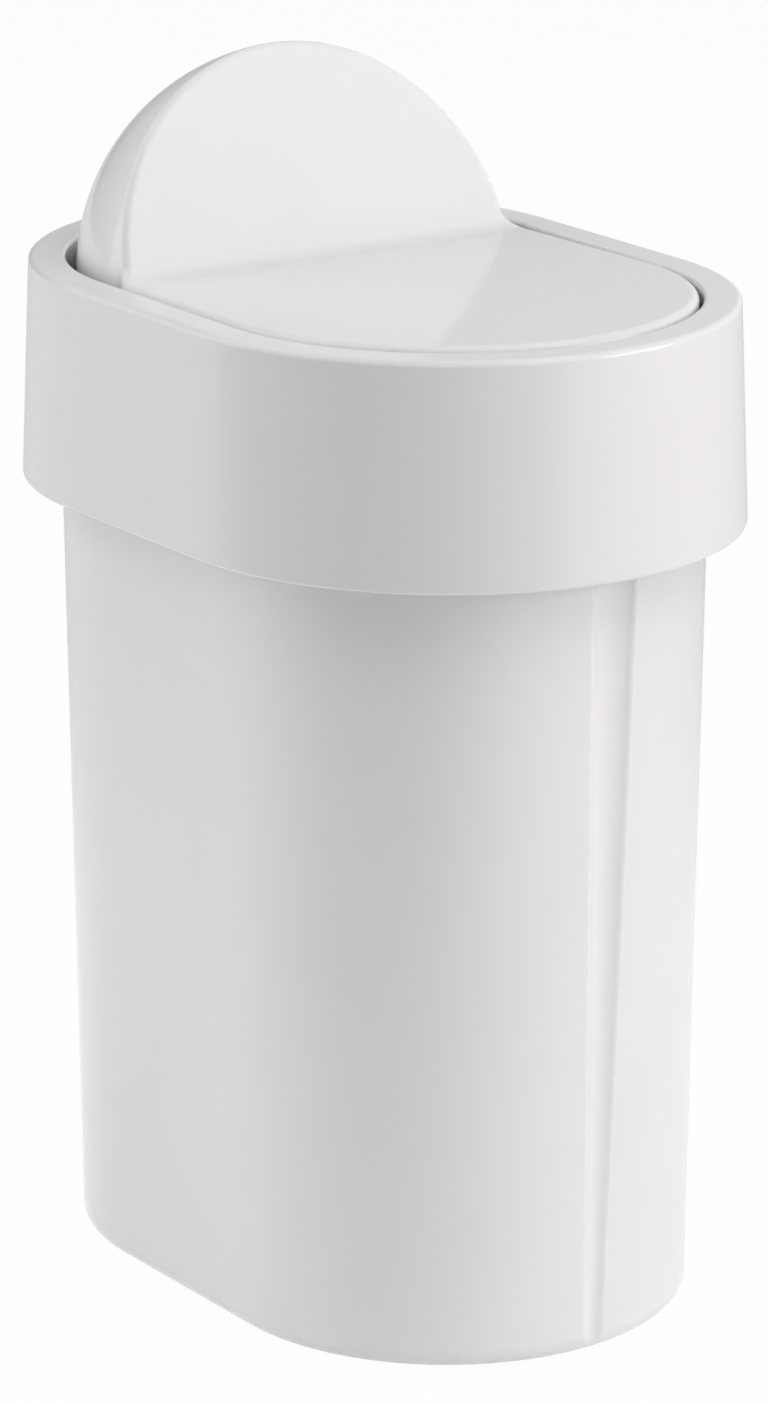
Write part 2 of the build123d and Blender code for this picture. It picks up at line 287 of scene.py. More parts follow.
def bentEdgeGroup():
    # 1 where the surface turns within Reach, from how far a rounded normal leans away from the true one
    group, given, out, where = newGroup("bentEdge", {"Reach": 0.0006}, ["Edge"])
    soft = addNode(group, "Bevel", {"Radius": given["Reach"]}, samples=6).outputs[0]
    true = addNode(group, "NewGeometry").outputs["Normal"]
    along = addNode(group, "VectorMath", {0: soft, 1: true}, operation="DOT_PRODUCT").outputs["Value"]
    group.links.new(ramp(group, along, 0.995, 0.86), out["Edge"])
    return group


def dustGroup():
    # a thin film on what faces up, gathered in soft clumps
    group, given, out, where = newGroup("dust", {"Amount": 0.3, "Clump": 160.0}, ["Film"])
    up = addNode(group, "SeparateXYZ", {0: addNode(group, "TexCoord").outputs["Normal"]}).outputs["Z"]
    clumps = ramp(group, noise(group, where, given["Clump"], 5.0, 0.7), 0.30, 0.85)
    lying = calc(group, "MULTIPLY", ramp(group, up, 0.55, 0.98), clumps)
    group.links.new(calc(group, "MULTIPLY", lying, given["Amount"]), out["Film"])
    return group


mouldSkin, handling, edgeWearAndHighlight = mouldSkinGroup(), handlingGroup(), edgeWearAndHighlightGroup()
bentEdge, dust = bentEdgeGroup(), dustGroup()


def placed(tree, group, **values):
    # a group in a material, with its values; a name's capital letter stands for a space before it
    made = tree.nodes.new("ShaderNodeGroup")
    made.node_tree = group
    for key, value in values.items():
        label = "".join(" " + c if c.isupper() else c for c in key).title()
        if isinstance(value, bpy.types.NodeSocket):
            tree.links.new(value, made.inputs[label])
        else:
            made.inputs[label].default_value = value
    return made.outputs


def tinted(tree, share, base, other):
    # base turning into other by share
    mix = addNode(tree, "Mix", data_type="RGBA")
    tree.links.new(share, mix.inputs[0])
    for socket, colour in ((mix.inputs[6], base), (mix.inputs[7], other)):
        if isinstance(colour, bpy.types.NodeSocket):
            tree.links.new(colour, socket)
        else:
            socket.default_value = (*colour, 1.0)
    return mix.outputs[2]


def newMaterial(name, **fixed):
    # a Principled material; fixed values go straight onto the shader's own sockets
    material = bpy.data.materials.new(name)
    material.use_nodes = True
    shader = material.node_tree.nodes["Principled BSDF"]
    for key, value in fixed.items():
        shader.inputs[key].default_value = value
    return material, material.node_tree, shader


def bumped(tree, shader, height, depth):
    # height goes into the shader as relief of the given depth in metres
    relief = addNode(tree, "Bump", {"Height": height, "Strength": 1.0, "Distance": depth})
    tree.links.new(relief.outputs[0], shader.inputs["Normal"])


def whitePlastic(name, look):
    # glossy moulded plastic: base colour with soft patches, smudges, hairlines, rubbed edges (painted lighter on the
    # bucket, as a highlight) and a trace of dust
    material, tree, shader = newMaterial(name, IOR=1.56)
    shift = look["shift"]
    skin = placed(tree, mouldSkin, wave=look["wave"], grainShare=look["grain"], shift=shift)["Height"]
    marks = placed(tree, handling, smudgeSize=look["smudgeSize"], hairlines=look["hairlines"], shift=shift)
    edge = addNode(tree, "Attribute", attribute_name="edge").outputs["Fac"]
    wear = placed(tree, edgeWearAndHighlight, edge=edge, amount=look["wear"], shift=shift)["Wear"]
    film = placed(tree, dust, amount=look["dust"], shift=shift)["Film"]
    cloud = noise(tree, addNode(tree, "TexCoord").outputs["Object"], 9.0, 3.0, 0.5)
    colour = tinted(tree, cloud, look["colour"], look["cloudColour"])
    smudged = calc(tree, "MULTIPLY", marks["Smudge"], look["smudgeShare"])
    colour = tinted(tree, smudged, colour, look["smudgeColour"])
    # edges take the rubbed-edge colour; where it is lighter than the base, as on the bucket, it is a painted
    # highlight
    colour = tinted(tree, wear, colour, look["wearAndHighlightColour"])
    tree.links.new(tinted(tree, film, colour, look["dustColour"]), shader.inputs["Base Color"])
    rough = look["roughness"]
    for mask, share in ((marks["Smudge"], "smudgeRough"), (marks["Hairline"], "hairlineRough"),
                        (wear, "wearRough"), (film, "dustRough")):
        rough = calc(tree, "MULTIPLY_ADD", mask, look[share], rough)
    tree.links.new(rough, shader.inputs["Roughness"])
    height = calc(tree, "MULTIPLY_ADD", marks["Hairline"], -look["hairlineDepth"], skin)
    bumped(tree, shader, height, look["relief"])
    return material


# Relief is in metres, wave and smudgeSize are noise scales per metre, and names in Rough are added roughness.
plainWhite = {
    "colour": (0.850, 0.843, 0.850), "cloudColour": (0.836, 0.829, 0.836), "smudgeColour": (0.808, 0.799, 0.800),
    "wearAndHighlightColour": (0.800, 0.792, 0.806), "dustColour": (0.700, 0.690, 0.680), "roughness": 0.085,
    "smudgeRough": 0.03, "hairlineRough": 0.18, "wearRough": 0.22, "dustRough": 0.5,
    "wave": 85.0, "grain": 0.02, "relief": 0.00005, "hairlines": 0.35, "hairlineDepth": 0.5,
    "smudgeSize": 22.0, "smudgeShare": 0.35, "wear": 0.35, "dust": 0.05, "shift": 0.0,
}
# The bucket's rubbed edges are painted lighter than its faces and more strongly: a painted highlight along its edges,
# most of all on the groove's lip.
bucketWhite = whitePlastic("bucketWhite", {
    **plainWhite, "shift": 0.31, "hairlines": 0.6, "wear": 0.8, "wearAndHighlightColour": (0.895, 0.888, 0.895)})
# The collar's white, patches too, is painted about 2% darker than the bucket's: painted shade for the less light the
# collar gets than the bucket.
collarShadedWhite = whitePlastic("collarShadedWhite", {
    **plainWhite, "colour": (0.830, 0.823, 0.832), "cloudColour": (0.816, 0.809, 0.818), "shift": 1.7,
    "smudgeSize": 26.0, "wear": 0.5})
lidWhite = whitePlastic("lidWhite", {
    **plainWhite, "shift": 4.2, "wave": 60.0, "relief": 0.00002, "roughness": 0.065, "smudgeRough": 0.02,
    "wear": 0.45})
print("finishes: three white plastics")


def smallFinish(name, look, **fixed):
    # one finish for the small parts: two tones broken by a noise, edge wear from the bent-edge mask, and dust
    material, tree, shader = newMaterial(name, **fixed)
    where = addNode(tree, "TexCoord").outputs["Object"]
    edge = placed(tree, bentEdge, reach=look["reach"])["Edge"]
    wear = placed(tree, edgeWearAndHighlight, edge=edge, amount=look["wear"], shift=look["shift"])["Wear"]
    film = placed(tree, dust, amount=look["dust"], clump=look["clump"], shift=look["shift"])["Film"]
    grain = placed(tree, mouldSkin, wave=look["wave"], grain=look["grainScale"], grainShare=look["grain"])["Height"]
    patches = ramp(tree, noise(tree, where, look["patchSize"], 3.0, 0.6, look["flow"]), 0.35, 0.68)
    colour = tinted(tree, patches, look["colour"], look["patchColour"])
    colour = tinted(tree, wear, colour, look["wearAndHighlightColour"])
    tree.links.new(tinted(tree, film, colour, look["dustColour"]), shader.inputs["Base Color"])
    rough = calc(tree, "MULTIPLY_ADD", patches, look["patchRough"], look["roughness"])
    rough = calc(tree, "MULTIPLY_ADD", wear, look["wearRough"], rough)
    rough = calc(tree, "MULTIPLY_ADD", film, look["dustRough"], rough, clamp=True)
    tree.links.new(rough, shader.inputs["Roughness"])
    bumped(tree, shader, grain, look["relief"])
    return material


dusting = {"clump": 260.0, "dustRough": 0.4}
nylon = smallFinish("naturalNylon", {
    "colour": (0.78, 0.76, 0.69), "patchColour": (0.74, 0.715, 0.64), "wearAndHighlightColour": (0.84, 0.83, 0.79),
    "dustColour": (0.55, 0.53, 0.50), "roughness": 0.36, "patchRough": 0.10, "wearRough": 0.15, "patchSize": 160.0,
    "flow": 0.8, "wave": 420.0, "grainScale": 5200.0, "grain": 0.4, "relief": 0.00003, "reach": 0.0004,
    "wear": 0.5, "dust": 0.25, "shift": 0.8, **dusting,
}, IOR=1.53)
steel = smallFinish("zincSteel", {
    "colour": (0.66, 0.67, 0.69), "patchColour": (0.52, 0.54, 0.57), "wearAndHighlightColour": (0.78, 0.78, 0.77),
    "dustColour": (0.45, 0.44, 0.42), "roughness": 0.28, "patchRough": 0.16, "wearRough": -0.08, "patchSize": 240.0,
    "flow": 1.6, "wave": 300.0, "grainScale": 3800.0, "grain": 0.5, "relief": 0.00003, "reach": 0.0005,
    "wear": 0.8, "dust": 0.2, "shift": 2.6, **dusting,
}, Metallic=1.0)
rubber = smallFinish("greyRubber", {
    "colour": (0.125, 0.125, 0.130), "patchColour": (0.105, 0.105, 0.108), "wearAndHighlightColour": (0.20, 0.20, 0.20),
    "dustColour": (0.34, 0.33, 0.32), "roughness": 0.66, "patchRough": 0.10, "wearRough": 0.05, "patchSize": 190.0,
    "flow": 0.4, "wave": 900.0, "grainScale": 6400.0, "grain": 0.8, "relief": 0.00006, "reach": 0.0005,
    "wear": 0.7, "dust": 0.5, "shift": 5.5, **dusting,
})
print("finishes: nylon, steel and rubber")


halfStraight = 35.6  # half the length of the plan's straight sides

bucket = {
    "groundGap": 0.4, "baseRadius": 74.25, "draft": 0.01379, "wall": 2.0, "floor": 2.2, "baseRound": 6.0,
    "panelRadius": 48.0, "panelRise": 2.0, "panelSlant": 1.2,
    "rimTop": 296.0, "rimRadius": 84.0, "rimThickness": 2.2, "lipDrop": 10.0,
    "grooveTop": 262.0, "grooveFootRadius": 4.72, "grooveFootAxis": (113.49, 2.53),
    "grooveTopRadius": 14.04, "grooveTopAxis": (123.80, 6.95), "grooveSoft": 0.8,
    "grooveEnd": 280.0, "grooveColumn": 5.6, "lipAngles": (1.5, 8.0), "warpReach": 20.0,
}

# a quarter of an end's columns in degrees, closest where the groove's lips are
quarterFine = np.concatenate([
    np.linspace(0.0, 4.4, 8), np.linspace(4.8, 6.6, 10), np.linspace(7.0, 14.0, 9), np.linspace(15.5, 90.0, 52)])


def bucketGrid(p):
    # Profile (r, z) carried round the plan: x = spine + r cos a, y = r sin a. At each end r is no more than the
    # near side of the groove's circle, D cos(a - f) - sqrt(g^2 - D^2 sin^2(a - f)), where g, D and f, its radius
    # and its axis seen from the spine's end, grow with height, and above its top g shrinks as a ball's slice.
    # Columns slide along the wall so that some always lie on the groove's lips.
    spine, angle = planColumns(halfStraight, quarterFine)
    outAt = lambda z: p["baseRadius"] + p["draft"] * z
    gap, top = p["groundGap"], p["rimTop"]
    floorTop = gap + p["floor"]
    lip = top - p["lipDrop"]
    under = top - p["rimThickness"]
    panel, rise, slant = p["panelRadius"], p["panelRise"], p["panelSlant"]
    rim, rimInner = p["rimRadius"], p["rimRadius"] - p["rimThickness"]
    outer = [
        (0.0, gap + rise, 0.0), (panel, gap + rise, 0.6), (panel + slant, gap, 0.6),
        (outAt(gap), gap, p["baseRound"]), (outAt(under), under, 0.5), (rimInner, under, 0.4), (rimInner, lip, 0.5),
        (rim, lip, 0.5), (rim, top, 1.0), (outAt(top) - p["wall"], top, 0.8),
    ]
    inner = [
        (outAt(floorTop) - p["wall"], floorTop, p["baseRound"] - p["wall"]),
        (panel + p["floor"] + slant, floorTop, 0.6), (panel + p["floor"], floorTop + rise, 0.6),
        (0.0, floorTop + rise, 0.0),
    ]
    line = roundedProfile(outer + inner, 7.0, False, steps=8)
    r, z = line[:, 0][:, None], line[:, 1][:, None]
    turn = np.arange(len(line))[:, None]
    inside = turn > int(np.argmax(line[:, 1] > top - 1e-6))
    height = np.clip(z, 0.0, p["grooveTop"]) / p["grooveTop"]
    grow = lambda foot, head: foot + (head - foot) * height
    groove = grow(p["grooveFootRadius"], p["grooveTopRadius"]) + np.where(inside, p["wall"], 0.0)
    slice2 = np.clip(groove ** 2 - np.clip(z - p["grooveTop"], 0.0, None) ** 2, 0.0, None)
    axisX = grow(p["grooveFootAxis"][0], p["grooveTopAxis"][0]) - halfStraight
    axisY = grow(p["grooveFootAxis"][1], p["grooveTopAxis"][1])
    reach, lean = np.hypot(axisX, axisY), np.degrees(np.arctan2(axisY, axisX))
    wallR = outAt(np.clip(z, 0.0, p["grooveEnd"])) - np.where(inside, p["wall"], 0.0)
    cosEdge = (wallR ** 2 + reach ** 2 - slice2) / (2.0 * wallR * reach)
    edge = np.clip(np.degrees(np.arccos(np.clip(cosEdge, -1.0, 1.0))), *p["lipAngles"])
    base, far = p["grooveColumn"], p["warpReach"]
    atEnd = (np.abs(np.abs(spine) - halfStraight) < 1e-6)[None, :]
    facing = np.where(spine > 0, 0.0, 180.0)[None, :]
    off = (angle[None, :] - facing + 180.0) % 360.0 - 180.0 + 0.0 * z
    between = lean + edge * off / base
    beyond = lean * np.sign(off) + edge
    beyond = beyond + (np.abs(off) - base) * (far - beyond) / (far - base)
    warped = np.where(np.abs(off) <= base, between, np.sign(off) * beyond)
    off = np.where(atEnd & (np.abs(off) < far), warped, off)
    a = np.radians(off - lean)
    inner2 = slice2 - (reach * np.sin(a)) ** 2
    near = reach * np.cos(a) - np.sqrt(np.clip(inner2, 0.0, None))
    onGroove = (inner2 > 0.0) & (np.cos(a) > 0.9) & atEnd
    cut = softMin(r + 0.0 * a, near, p["grooveSoft"])
    r = np.where(onGroove, np.minimum(cut, r), r + 0.0 * a)
    out = np.radians(off + facing)
    points = np.stack([spine[None, :] + r * np.cos(out), r * np.sin(out), z + 0.0 * out], axis=-1)
    return gridPatch(points, True)


makePiece("bucketShell", [bucketGrid(bucket)], bucketWhite, "bin", ["bin_body"])


collar = {
    "bottom": 245.1, "top": 313.0, "bottomRadius": 89.7, "topRadius": 87.0, "wall": 2.4, "flange": 2.2,
    "topRound": 1.8, "bottomRound": 1.1,
    "throatRadius": 75.6, "throatWall": 2.2, "throatRound": 1.2, "throatBottom": 296.3,
    "webThickness": 1.6, "webSides": (-10.0, 12.0, 34.0), "webEnds": (-62.0, -22.0, 22.0, 62.0),
    "shelfThickness": 2.0, "shelfDepth": 6.4, "shelfHalfWidth": 28.0, "shelfHold": 0.6, "shelfRound": 0.4,
}


def collarGrid(p):
    # A closed profile of skirt, top flange and throat carried round the plan: x = spine + r cos a, y = r sin a.
    flare = (p["topRadius"] - p["bottomRadius"]) / (p["top"] - p["bottom"])
    ceiling = p["top"] - p["flange"]
    insideAt = lambda z: p["bottomRadius"] - p["wall"] + flare * (z - p["bottom"])
    corners = [
        (p["bottomRadius"], p["bottom"], p["bottomRound"]), (p["topRadius"], p["top"], p["topRound"]),
        (p["throatRadius"], p["top"], p["throatRound"]), (p["throatRadius"], p["throatBottom"], 0.5),
        (p["throatRadius"] + p["throatWall"], p["throatBottom"], 0.5),
        (p["throatRadius"] + p["throatWall"], ceiling, 0.5), (insideAt(ceiling), ceiling, 0.8),
        (insideAt(p["bottom"]), p["bottom"], p["bottomRound"]),
    ]
    line = roundedProfile(corners, 8.0, True, steps=10)
    spine, angle = planColumns(halfStraight, np.linspace(0.0, 90.0, 61))
    a = np.radians(angle)
    r, z = line[:, 0][:, None], line[:, 1][:, None]
    points = np.stack([spine + r * np.cos(a), r * np.sin(a), z + 0.0 * a], axis=-1)
    return gridPatch(points, True)


def collarWebs(p):
    # Upright plates between the throat and the skirt, each square to the plan's outline.
    flare = (p["topRadius"] - p["bottomRadius"]) / (p["top"] - p["bottom"])
    low, high = p["throatBottom"], p["top"] - p["flange"] / 2
    insideAt = lambda z: p["bottomRadius"] - p["wall"] / 2 + flare * (z - p["bottom"])
    near = p["throatRadius"] + p["throatWall"] / 2
    places = [(x, side * 90.0) for x in p["webSides"] for side in (-1, 1)]
    places += [(halfStraight, angle) for angle in p["webEnds"]]
    places += [(-halfStraight, 180.0 + angle) for angle in p["webEnds"]]
    webs = []
    for x, angle in places:
        out = np.array([math.cos(math.radians(angle)), math.sin(math.radians(angle)), 0.0])
        side = np.array([-out[1], out[0], 0.0]) * p["webThickness"] / 2
        ring = [(near, low, -1), (insideAt(low), low, -1), (insideAt(low), low, 1), (near, low, 1),
                (near, high, -1), (insideAt(high), high, -1), (insideAt(high), high, 1), (near, high, 1)]
        webs.append(wedgeSolid([[x, 0.0, z] + out * r + side * s for r, z, s in ring]))
    return webs


def closingShelf(p):
    # Ledge across the back of the throat: x = -half - sqrt(r^2 - y^2) between two radii and two heights.
    y = np.linspace(-p["shelfHalfWidth"], p["shelfHalfWidth"], 33)
    inner, outer = p["throatRadius"] - p["shelfDepth"], p["throatRadius"] + p["shelfHold"] * p["throatWall"]
    low, high = p["throatBottom"], p["throatBottom"] + p["shelfThickness"]
    middle = (inner + outer) / 2, (low + high) / 2
    corners = [(inner, low), (outer, low), (outer, high), (inner, high)]
    loop = roundedProfile([(*corner, p["shelfRound"]) for corner in corners], 3.0, True, steps=4)
    r = loop[:, 0][None, :]
    x = -halfStraight - np.sqrt(r ** 2 - y[:, None] ** 2)
    points = np.stack([x, y[:, None] + 0.0 * x, loop[:, 1][None, :] + 0.0 * x], axis=-1)
    endX = -halfStraight - np.sqrt(middle[0] ** 2 - y[[0, -1]] ** 2)
    caps = np.stack([endX, y[[0, -1]], np.full(2, middle[1])], axis=-1)[:, None, :] + 0.0 * points[:2]
    return gridPatch(np.concatenate([caps[:1], points, caps[1:]]), True)


pivot = {
    "x": -39.6, "z": 305.8, "bossRadius": 8.0, "bossFrom": 75.3, "bossTo": 79.0, "bossLow": 296.6,
    "bossHigh": 311.9, "boreRadius": 3.7, "blockFrom": 9.0, "blockTo": 14.0, "blockRise": 0.4,
    "blockY": (71.2, 76.4), "blockRound": 0.35, "stopThickness": 3.0,
}


def closedRing(corners, spacing, steps):
    # A rounded profile whose last point is its first again, ready to be turned about a line.
    loop = roundedProfile(corners, spacing, True, steps, guard=0.1)
    return np.vstack([loop, loop[:1]])


def pivotBoss(p, side):
    # Ring about the pivot line behind the throat wall, cut off level above and below.
    bore, rim, start, end = p["boreRadius"], p["bossRadius"], p["bossFrom"], p["bossTo"]
    loop = closedRing([(bore, start, 0.2), (rim, start, 0.2), (rim, end, 0.4), (bore, end, 0.2)], 3.0, 4)
    points, quads = turned(loop, (p["x"], 0.0, p["z"]), (0.0, side, 0.0), (1.0, 0.0, 0.0))
    points[:, 2] = np.clip(points[:, 2], p["bossLow"], p["bossHigh"])
    return points, quads


def stopBlock(p, side):
    # Rounded box on the throat wall behind the pivot, which the lid's finger meets when the lid is open.
    x = p["x"] - (p["blockFrom"] + p["blockTo"]) / 2
    y = side * sum(p["blockY"]) / 2
    size = (p["blockTo"] - p["blockFrom"], p["blockY"][1] - p["blockY"][0], p["stopThickness"])
    return roundBox((x, y, p["z"] + p["blockRise"]), size, p["blockRound"])


collarPatches = [collarGrid(collar), closingShelf(collar), *collarWebs(collar)]
for side in (-1, 1):
    collarPatches += [pivotBoss(pivot, side), stopBlock(pivot, side)]
makePiece("collarShell", collarPatches, collarShadedWhite, "collar", ["lid_collar"])


lid = {
    "ball": 70.4, "lean": 20.5, "creaseX": -31.1, "flapTop": 312.9, "creaseRound": 7.0, "edgeRound": 2.6, "wall": 2.2,
    "noseRadius": 74.4, "creaseHalfWidth": 74.0, "lipBottom": 306.7, "domeBottom": 300.1, "flareEnd": -18.0,
    "hang": 0.5, "hubRadius": 4.0, "hubInnerRadius": 5.5, "hubY": (60.0, 68.4, 73.8), "pinRadius": 2.2,
    "fingerFrom": 2.6, "fingerTo": 13.0, "fingerY": (68.4, 72.9), "fingerRound": 0.4,
    "webPlaces": (-32.0, 0.0, 32.0), "webThickness": 1.4, "webHeight": 5.0, "webSetBack": 4.0, "webHold": 0.75,
    "screwAngle": 22.0, "screwZ": 304.3, "screwBossRadius": 4.2, "screwBoss": (64.0, 69.2), "screwRadius": 1.5,
}


def lidOutline(p):
    # Half of the lid's outline from the top of its leaning face, down over the crease, to the tip of the flap,
    # as the path of a ball of the edge's radius that rolls inside it: its centres, the way out through the
    # front skin, and the way out through the side, which is the dome's own on the face and level on the flap.
    edge = p["edgeRound"]
    lean = math.radians(p["lean"])
    middle = np.array([pivot["x"], 0.0, pivot["z"]])
    out = np.array([math.cos(lean), 0.0, math.sin(lean)])
    up = np.array([-math.sin(lean), 0.0, math.cos(lean)])
    crease = np.array([p["creaseX"], 0.0, p["flapTop"]])
    plane = float((crease - middle) @ out) - edge
    ring = math.sqrt((p["ball"] - edge) ** 2 - plane ** 2)
    tangent = p["creaseRound"] * math.tan((math.pi / 2 - lean) / 2)
    stop = float((crease - middle) @ up) + tangent
    turnEnd = math.acos(stop / ring)
    b = np.linspace(0.0, turnEnd, 58)[:, None]
    faceC = middle + plane * out + ring * (np.cos(b) * up + np.sin(b) * np.array([0.0, 1.0, 0.0]))
    faceN = np.broadcast_to(out, faceC.shape)
    faceM = unit(faceC - middle)

    frontX = halfStraight
    narrowing, flapLength = p["noseRadius"] - p["creaseHalfWidth"], frontX - p["creaseX"]
    width = lambda x: p["noseRadius"] - narrowing * ((frontX - x) / flapLength) ** 2
    slope = lambda x: 2 * narrowing * (frontX - x) / flapLength ** 2
    x = np.linspace(p["creaseX"] + tangent, frontX, 30)[:, None]
    flapM = unit(np.concatenate([-slope(x), np.ones_like(x), 0.0 * x], axis=1))
    sideC = np.concatenate([x, width(x), np.full_like(x, p["flapTop"] - edge)], axis=1) - edge * flapM
    g = np.linspace(math.pi / 2, 0.0, 62)[1:, None]
    noseM = np.concatenate([np.cos(g), np.sin(g), 0.0 * g], axis=1)
    noseC = np.array([frontX, 0.0, p["flapTop"] - edge]) + (p["noseRadius"] - edge) * noseM

    # over the crease the centres turn about its own axis while the width runs from one end's to the other's
    s = np.linspace(0.0, 1.0, 18)[1:-1, None]
    n = lean + s * (math.pi / 2 - lean)
    creaseN = np.concatenate([np.cos(n), 0.0 * n, np.sin(n)], axis=1)
    axis = np.array([p["creaseX"] + tangent, 0.0, p["flapTop"] + p["creaseRound"]])
    creaseC = axis - (p["creaseRound"] + edge) * creaseN
    length = (p["creaseRound"] + edge) * (math.pi / 2 - lean)
    y0, y1 = faceC[-1, 1], sideC[0, 1]
    d0, d1 = length * stop / y0, length * slope(x[0, 0])
    creaseC[:, 1:2] = ((2 * s ** 3 - 3 * s ** 2 + 1) * y0 + (s ** 3 - 2 * s ** 2 + s) * d0
                       + (3 * s ** 2 - 2 * s ** 3) * y1 + (s ** 3 - s ** 2) * d1)
    creaseM = unit(faceM[-1] + (flapM[0] - faceM[-1]) * smoothStep(s))

    centre = np.concatenate([faceC, creaseC, sideC, noseC])
    skin = np.concatenate([faceN, creaseN, np.broadcast_to([0.0, 0.0, 1.0], (len(sideC) + len(noseC), 3))])
    sideways = np.concatenate([faceM, creaseM, flapM, noseM])
    spin = np.concatenate([b[:, 0] / turnEnd, np.ones(len(centre) - len(b))])
    return centre, skin, sideways, spin


def lidShell(p):
    # The skin is ruled straight across between the two halves of the outline. Round it the rolling ball gives
    # the edge, C + edge * (from skin normal to side normal), and from there the side runs down to the lower
    # edge, pushed onto the dome's ball where it belongs to the dome. All of it is then set in by the wall,
    # along its own normals, and the lower edge is closed with a half round.
    centre, skin, sideways, spin = lidOutline(p)
    edge, ball, wall = p["edgeRound"], p["ball"], p["wall"]
    middle = np.array([pivot["x"], 0.0, pivot["z"]])
    turn = np.arccos(np.clip(np.sum(skin * sideways, axis=1), -1.0, 1.0))[None, :, None]
    t = np.linspace(0.0, 1.0, 11)[:, None, None]
    around = (np.sin((1 - t) * turn) * skin + np.sin(t * turn) * sideways) / np.sin(turn)
    edgeRows = centre + edge * around

    start = edgeRows[-1]
    drop = p["domeBottom"] - pivot["z"]
    foot = math.sqrt(ball ** 2 - drop ** 2)
    faceCount = int(np.sum(spin < 1.0)) + 1
    lastX = start[faceCount - 1, 0]
    endAngle = math.acos(np.clip(-(lastX - pivot["x"]) / foot, -1.0, 1.0))
    flare = smoothStep((centre[:, 0] - lastX) / (p["flareEnd"] - lastX))
    flare[:faceCount] = 0.0
    around0 = spin * endAngle
    domeX = np.where(np.arange(len(spin)) < faceCount, pivot["x"] - foot * np.cos(around0), start[:, 0])
    domeY = np.where(np.arange(len(spin)) < faceCount, foot * np.sin(around0),
                     np.sqrt(np.clip(foot ** 2 - (start[:, 0] - pivot["x"]) ** 2, 0.0, None)))
    lower = np.stack([domeX + (start[:, 0] - domeX) * flare, domeY + (start[:, 1] - domeY) * flare,
                      p["domeBottom"] + (p["lipBottom"] - p["domeBottom"]) * flare], axis=1)
    # shares of the way down the side, closer together at both ends
    f = np.concatenate([[0.004], np.linspace(0.02, 0.98, 36), [0.996, 1.0]])[:, None, None]
    straight = start + (lower - start) * f
    onBall = middle + ball * unit(straight - middle)
    onDome = (1.0 - flare)[None, :, None]
    sideRows = straight + (onBall - straight) * onDome

    outerRows = np.concatenate([edgeRows, sideRows])
    # normals of the half ring, mirrored at both ends so that they stay true there
    flip = np.array([1.0, -1.0, 1.0])
    padded = np.concatenate([outerRows[:, 1:2] * flip, outerRows, outerRows[:, -2:-1] * flip], axis=1)
    along = padded[:, 2:] - padded[:, :-2]
    down = np.gradient(outerRows, axis=0)
    normal = np.cross(along, down)
    normal *= np.sign(np.sum(normal * sideways, axis=-1, keepdims=True))
    normal = unit(normal)
    normal[:len(edgeRows)] = around
    innerRows = outerRows - wall * normal
    tip, tipN = outerRows[-1], normal[-1]
    tipDown = unit(outerRows[-1] - outerRows[-2])
    h = np.linspace(0.0, math.pi, 9)[1:-1, None, None]
    rimRows = tip - wall / 2 * tipN + wall / 2 * (np.cos(h) * tipN + np.sin(h) * tipDown)
    rows = np.concatenate([outerRows, rimRows, innerRows[::-1]])
    mirrored = (rows * flip)[:, -2:0:-1]
    ring = np.concatenate([rows, mirrored], axis=1)

    # the skin across the middle, with a narrow column along each edge that holds the edge's shape
    guard = np.minimum(0.25, 0.1 * edgeRows[0, :, 1])
    across = np.linspace(-1.0, 1.0, 41)[None, :]
    y = across * (edgeRows[0, :, 1] - guard)[:, None]
    y = np.concatenate([-edgeRows[0, :, 1:2], y, edgeRows[0, :, 1:2]], axis=1)
    front = np.stack([edgeRows[0, :, 0:1] + 0.0 * y, y, edgeRows[0, :, 2:3] + 0.0 * y], axis=-1)
    back = front - wall * skin[:, None, :]
    return [gridPatch(ring, True), gridPatch(front, False), gridPatch(back, False)]


def lidHub(p, side):
    # Boss with a bore about the pivot line, stepped where it passes through the dome.
    y0, y1, y2 = p["hubY"]
    bore, wide, slim = p["pinRadius"], p["hubInnerRadius"], p["hubRadius"]
    loop = closedRing([(bore, y0, 0.2), (wide, y0, 0.5), (wide, y1, 0.2), (slim, y1, 0.2), (slim, y2, 0.6),
                       (bore, y2, 0.2)], 4.0, 5)
    return turned(loop, (pivot["x"], 0.0, pivot["z"]), (0.0, side, 0.0), (1.0, 0.0, 0.0))


def lidFinger(p, side):
    # Rounded box that hangs from the hub and meets the collar's stop block.
    size = (pivot["stopThickness"], p["fingerY"][1] - p["fingerY"][0], p["fingerTo"] - p["fingerFrom"])
    centre = (pivot["x"], side * sum(p["fingerY"]) / 2, pivot["z"] - (p["fingerFrom"] + p["fingerTo"]) / 2)
    return roundBox(centre, size, p["fingerRound"])


def flapWeb(p, y):
    # Thin upright plate under the flap, from the crease to the inside of the lip at the nose.
    high = p["flapTop"] - p["wall"] / 2
    low = p["flapTop"] - p["wall"] - p["webHeight"]
    x0 = p["creaseX"] + p["webSetBack"]
    x1 = halfStraight + math.sqrt((p["noseRadius"] - p["wall"] * p["webHold"]) ** 2 - y ** 2)
    half = p["webThickness"] / 2
    return wedgeSolid([(x0, y - half, low), (x1, y - half, low), (x1, y + half, low), (x0, y + half, low),
                       (x0, y - half, high), (x1, y - half, high), (x1, y + half, high), (x0, y + half, high)])


def screwBoss(p, side):
    # Round boss inside the dome wall, on a line that points back and out from the dome's middle.
    turn = math.radians(180.0 + side * p["screwAngle"])
    bore, rim = p["screwRadius"], p["screwBossRadius"]
    start, end = p["screwBoss"]
    loop = closedRing([(bore, start, 0.2), (rim, start, 0.4), (rim, end, 0.2), (bore, end, 0.2)], 3.0, 4)
    return turned(loop, (pivot["x"], 0.0, p["screwZ"]), (math.cos(turn), math.sin(turn), 0.0), (0.0, 0.0, 1.0), 40)


